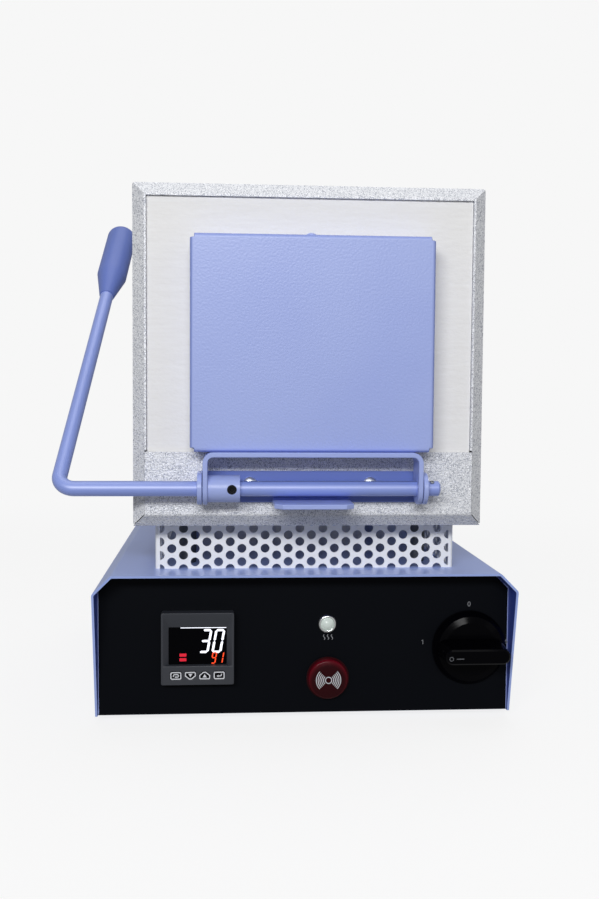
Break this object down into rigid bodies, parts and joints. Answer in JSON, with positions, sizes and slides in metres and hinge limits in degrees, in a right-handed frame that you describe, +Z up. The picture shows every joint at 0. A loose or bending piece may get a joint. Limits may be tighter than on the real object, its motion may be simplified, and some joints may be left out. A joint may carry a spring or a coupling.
{
  "type": "dental lab burnout furnace",
  "caption": "Bench furnace for dental moulds: fibre-lined chamber with a drop door worked by a side lever, on a perforated plinth over a base with temperature controller, lamp, buzzer and knob.",
  "frame": {"origin": "on the bench, under the middle of the four feet", "axes": "+X to the right as the operator sees it, +Y from the operator to the back, +Z up"},
  "size_m": [0.3038, 0.4087, 0.353],
  "materials": {
    "blue_coat": "light blue powder coat with a fine orange peel",
    "lever_coat": "mid blue powder coat, smooth",
    "hammered_coat": "silver-grey hammered enamel",
    "white_coat": "white enamel on perforated sheet",
    "fibre_board": "soft white vacuum-formed ceramic fibre",
    "hearth_ceramic": "cream fired ceramic tile",
    "sheath_ceramic": "white fired ceramic tube",
    "coil_wire": "oxidised resistance wire",
    "panel_film": "near-black printed film, satin",
    "case_plastic": "dark grey moulded plastic",
    "window_plastic": "smoked glossy pane",
    "key_plastic": "black rubber keys with pale outlines",
    "bezel_chrome": "polished",
    "clear_lens": "clear moulded lens over a pale reflector",
    "red_lens": "dark red moulded dome",
    "black_plastic": "black moulded plastic",
    "knob_plastic": "black phenolic, satin",
    "foot_rubber": "moulded black rubber",
    "zinc_steel": "bright zinc plated",
    "bare_steel": "bright drawn steel",
    "black_steel": "black oxide",
    "relay_aluminium": "extruded, plain",
    "strip_plastic": "pale polyamide",
    "phenolic": "cream phenolic moulding"
  },
  "bodies": {
    "root": {"base_tray": "blue_coat", "base_hood": "blue_coat", "hinge_plate": "blue_coat", "casing_wrap": "hammered_coat", "casing_bottom": "hammered_coat", "casing_rear": "hammered_coat", "terminal_cover": "hammered_coat", "plinth_front": "white_coat", "plinth_rear": "white_coat", "plinth_left": "white_coat", "plinth_right": "white_coat", "front_board": "fibre_board", "chamber_floor": "fibre_board", "chamber_roof": "fibre_board", "heater_tile_left": "fibre_board", "heater_tile_right": "fibre_board", "rear_insulation": "fibre_board", "side_insulation": "fibre_board", "top_insulation": "fibre_board", "bottom_insulation": "fibre_board", "hearth_tile": "hearth_ceramic", "thermocouple": "sheath_ceramic", "heater_terminals": "sheath_ceramic", "heating_coils": "coil_wire", "panel_overlay": "panel_film", "controller_case": "case_plastic", "controller_window": "window_plastic", "pilot_bezel": "bezel_chrome", "pilot_lens": "clear_lens", "buzzer_lens": "red_lens", "buzzer_body": "black_plastic", "cable_gland": "black_plastic", "fuse_holder": "black_plastic", "rubber_feet": "foot_rubber", "foot_screws": "zinc_steel", "housing_screws": "zinc_steel", "standoff_posts": "zinc_steel", "post_bolts": "zinc_steel", "hinge_screws": "zinc_steel", "panel_nuts": "zinc_steel", "power_relay": "relay_aluminium", "terminal_strip": "strip_plastic", "regulator": "phenolic"},
    "door": {"door_shell": "blue_coat", "door_board": "fibre_board", "door_screw": "blue_coat", "door_bracket": "blue_coat", "bracket_screws": "bare_steel", "hinge_hub": "blue_coat", "set_screw": "black_steel", "lever_rod": "lever_coat", "lever_grip": "lever_coat", "shaft_pin": "bare_steel"},
    "selector": {"selector_knob": "knob_plastic", "selector_shaft": "bare_steel"},
    "cycle_key": {"key_cycle": "key_plastic"},
    "down_key": {"key_down": "key_plastic"},
    "up_key": {"key_up": "key_plastic"},
    "enter_key": {"key_enter": "key_plastic"}
  },
  "joints": [
    {"name": "door_hinge", "type": "hinge", "parent": "root", "child": "door", "pos_m": [0, -0.205, 0.1614], "axis": [1, 0, 0], "range_deg": [0, 90]},
    {"name": "selector_turn", "type": "hinge", "parent": "root", "child": "selector", "pos_m": [0.111, -0.165, 0.0495], "axis": [0, -1, 0], "range_deg": [-90, 180]},
    {"name": "cycle_press", "type": "slide", "parent": "root", "child": "cycle_key", "axis": [0, 1, 0], "range_m": [0, 0.0008], "stiffness_N_per_m": 500, "springref_m": -0.001},
    {"name": "down_press", "type": "slide", "parent": "root", "child": "down_key", "axis": [0, 1, 0], "range_m": [0, 0.0008], "stiffness_N_per_m": 500, "springref_m": -0.001},
    {"name": "up_press", "type": "slide", "parent": "root", "child": "up_key", "axis": [0, 1, 0], "range_m": [0, 0.0008], "stiffness_N_per_m": 500, "springref_m": -0.001},
    {"name": "enter_press", "type": "slide", "parent": "root", "child": "enter_key", "axis": [0, 1, 0], "range_m": [0, 0.0008], "stiffness_N_per_m": 500, "springref_m": -0.001}
  ]
}
